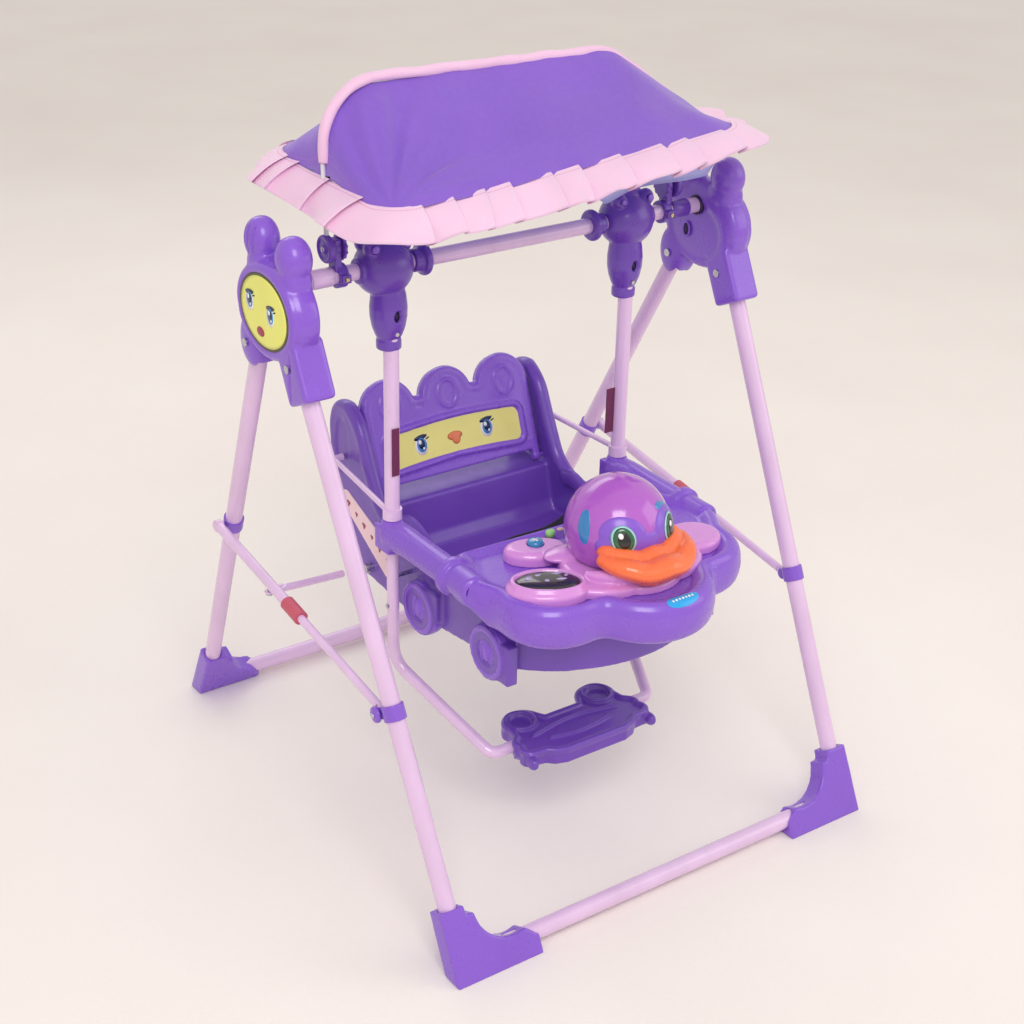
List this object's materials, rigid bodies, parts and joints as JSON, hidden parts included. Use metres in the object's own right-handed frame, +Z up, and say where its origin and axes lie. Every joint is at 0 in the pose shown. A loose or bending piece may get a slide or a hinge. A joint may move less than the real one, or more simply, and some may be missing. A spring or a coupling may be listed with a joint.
{
  "type": "baby swing",
  "caption": "Folding A-frame baby swing: a hanging moulded seat with a tray and a toy head, a footrest, telescoping braces and a tilting cloth canopy.",
  "frame": {"origin": "on the floor, under the middle of the crossbar", "axes": "+Z up, the child faces -Y, X runs along the crossbar with +X on the child's left hand side"},
  "size_m": [0.919, 1.0557, 1.3076],
  "materials": {
    "violet_plastic": "moulded violet plastic",
    "deep_violet_plastic": "moulded deep violet plastic",
    "pink_tube": "gloss pink-lilac powder coat",
    "red_collar": "soft red-pink plastic",
    "zinc": "bright zinc plate",
    "yellow_badge": null,
    "pink_sticker": "printed sticker, plain pattern",
    "black_webbing": "woven webbing",
    "plum_tag": "woven plum tape",
    "orchid_plastic": "glossy orchid plastic",
    "toy_pink_plastic": "glossy pink plastic",
    "orange_plastic": "glossy orange plastic",
    "eye_print": "printed green eyes",
    "dark_lens": "dark translucent lens",
    "blue_plastic": "sky blue plastic",
    "leaf_plastic": "leaf green plastic",
    "white_rod": "pale grey coated wire and discs",
    "violet_cloth": "printed violet polyester cloth",
    "pink_cloth": "thin pink gathered polyester"
  },
  "bodies": {
    "stand": {"front_leg_left": "pink_tube", "front_leg_right": "pink_tube", "front_base_bar": "pink_tube", "front_shoe_left": "violet_plastic", "front_shoe_right": "violet_plastic", "crossbar": "pink_tube", "hub_left": "violet_plastic", "hub_right": "violet_plastic", "hub_badges": "yellow_badge", "hub_bolts": "zinc", "brace_clevis_left": "violet_plastic", "brace_clevis_right": "violet_plastic", "canopy_clamp_left": "deep_violet_plastic", "canopy_clamp_right": "deep_violet_plastic"},
    "rear_frame": {"rear_leg_left": "pink_tube", "rear_leg_right": "pink_tube", "rear_base_bar": "pink_tube", "rear_shoe_left": "violet_plastic", "rear_shoe_right": "violet_plastic", "brace_saddles": "violet_plastic"},
    "rod_left": {"brace_rod_left": "pink_tube"},
    "rod_right": {"brace_rod_right": "pink_tube"},
    "outer_left": {"brace_tube_left": "pink_tube", "brace_collar_left": "red_collar", "lock_pin": "zinc"},
    "outer_right": {"brace_tube_right": "pink_tube", "brace_collar_right": "red_collar"},
    "lock_bar": {"lock_bar": "pink_tube"},
    "swing": {"hanger_bulb_left": "deep_violet_plastic", "hanger_bulb_right": "deep_violet_plastic", "hanger_tube_left": "pink_tube", "hanger_tube_right": "pink_tube", "footrest_tube": "pink_tube", "seat_shell": "violet_plastic", "seat_bolts": "zinc", "side_stickers": "pink_sticker", "seat_belt": "black_webbing", "stay_bar_left": "violet_plastic", "stay_bar_right": "violet_plastic", "hanger_tags": "plum_tag", "arm_left": "violet_plastic", "arm_right": "violet_plastic"},
    "latch_left": {"bulb_button_left": "zinc"},
    "latch_right": {"bulb_button_right": "zinc"},
    "backrest": {"backrest": "violet_plastic", "backrest_badge": "yellow_badge"},
    "tray": {"tray": "violet_plastic", "tray_label": "blue_plastic", "toy_base": "toy_pink_plastic", "toy_head": "orchid_plastic", "toy_mask": "violet_plastic", "toy_beak": "orange_plastic", "toy_eyes": "eye_print", "toy_lamp": "dark_lens"},
    "toy_key_round": {"toy_button_round": "blue_plastic"},
    "toy_key_leaf": {"toy_button_leaf": "leaf_plastic"},
    "footrest": {"footrest": "violet_plastic"},
    "canopy": {"canopy_frame": "white_rod", "canopy_cover": "violet_cloth", "canopy_ruffle": "pink_cloth"}
  },
  "joints": [
    {"name": "frame_fold", "type": "hinge", "parent": "stand", "child": "rear_frame", "pos_m": [0, 0.06808, 0.893], "axis": [-1, 0, 0], "range_deg": [0, 30]},
    {"name": "brace_swivel_left", "type": "hinge", "parent": "stand", "child": "rod_left", "pos_m": [-0.424, -0.28543, 0.38466], "axis": [-1, 0, 0], "range_deg": [0, 4]},
    {"name": "brace_slide_left", "type": "slide", "parent": "rod_left", "child": "outer_left", "axis": [0, -0.9874, -0.1585], "range_m": [0, 0.242]},
    {"name": "brace_swivel_right", "type": "hinge", "parent": "stand", "child": "rod_right", "pos_m": [0.424, -0.28543, 0.38466], "axis": [-1, 0, 0], "range_deg": [0, 4]},
    {"name": "brace_slide_right", "type": "slide", "parent": "rod_right", "child": "outer_right", "axis": [0, -0.9874, -0.1585], "range_m": [0, 0.242]},
    {"name": "lock_bar_turn", "type": "hinge", "parent": "outer_left", "child": "lock_bar", "pos_m": [-0.424, 0.088, 0.426], "axis": [0, 0, -1], "range_deg": [0, 60]},
    {"name": "swing_pivot", "type": "hinge", "parent": "stand", "child": "swing", "pos_m": [0, 0, 1], "axis": [1, 0, 0], "range_deg": [-22, 22]},
    {"name": "latch_press_left", "type": "slide", "parent": "swing", "child": "latch_left", "axis": [0, 1, 0], "range_m": [0, 0.003], "stiffness_N_per_m": 800, "springref_m": -0.001},
    {"name": "latch_press_right", "type": "slide", "parent": "swing", "child": "latch_right", "axis": [0, 1, 0], "range_m": [0, 0.003], "stiffness_N_per_m": 800, "springref_m": -0.001},
    {"name": "backrest_recline", "type": "hinge", "parent": "swing", "child": "backrest", "pos_m": [0, 0.136, 0.518], "axis": [-1, 0, 0], "range_deg": [0, 20]},
    {"name": "tray_slide", "type": "slide", "parent": "swing", "child": "tray", "axis": [0, -1, 0], "range_m": [0, 0.03]},
    {"name": "toy_press_round", "type": "slide", "parent": "tray", "child": "toy_key_round", "axis": [0, 0, -1], "range_m": [0, 0.003], "stiffness_N_per_m": 700, "springref_m": -0.001},
    {"name": "toy_press_leaf", "type": "slide", "parent": "tray", "child": "toy_key_leaf", "axis": [0, 0, -1], "range_m": [0, 0.003], "stiffness_N_per_m": 700, "springref_m": -0.001},
    {"name": "footrest_tilt", "type": "hinge", "parent": "swing", "child": "footrest", "pos_m": [0, -0.222, 0.176], "axis": [1, 0, 0], "range_deg": [-25, 25]},
    {"name": "canopy_tilt", "type": "hinge", "parent": "stand", "child": "canopy", "pos_m": [0, 0, 1.046], "axis": [1, 0, 0], "range_deg": [-40, 40]}
  ],
  "couplings": [
    {"joint": "brace_swivel_left", "follows": "frame_fold", "ratio": 0.095},
    {"joint": "brace_slide_left", "follows": "frame_fold", "m_per_rad": 0.4599},
    {"joint": "brace_swivel_right", "follows": "frame_fold", "ratio": 0.095},
    {"joint": "brace_slide_right", "follows": "frame_fold", "m_per_rad": 0.4599}
  ]
}
